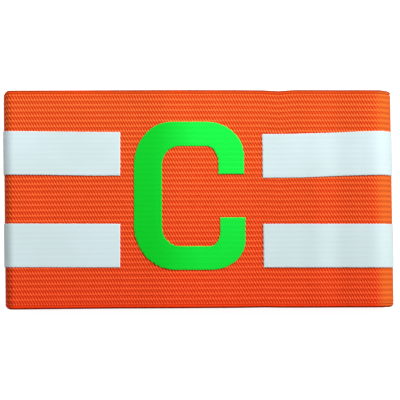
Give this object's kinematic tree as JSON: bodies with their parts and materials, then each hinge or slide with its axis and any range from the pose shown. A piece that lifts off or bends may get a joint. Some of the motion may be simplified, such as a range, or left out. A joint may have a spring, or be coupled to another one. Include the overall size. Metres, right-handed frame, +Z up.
{
  "type": "captain armband",
  "caption": "Flat-lying loop of ribbed orange elastic, with a raised green letter C and broad white stripes over both folds; worn round the upper arm.",
  "frame": {"origin": "under the middle of the flat-lying armband, on the surface that it rests on", "axes": "+X along the flat band towards its fuller fold, to the right of the letter; +Y across the width towards the letter's top; +Z up, out of the front with the letter"},
  "size_m": [0.1256, 0.07, 0.0107],
  "materials": {
    "elastic": "ribbed woven elastic, soft sheen",
    "letter_film": "satin heat-pressed film",
    "stripe_film": "satin heat-pressed film"
  },
  "bodies": {
    "root": {"elastic_band": "elastic", "captain_letter": "letter_film", "stripe_left_upper": "stripe_film", "stripe_left_lower": "stripe_film", "stripe_right_upper": "stripe_film", "stripe_right_lower": "stripe_film"}
  },
  "joints": []
}
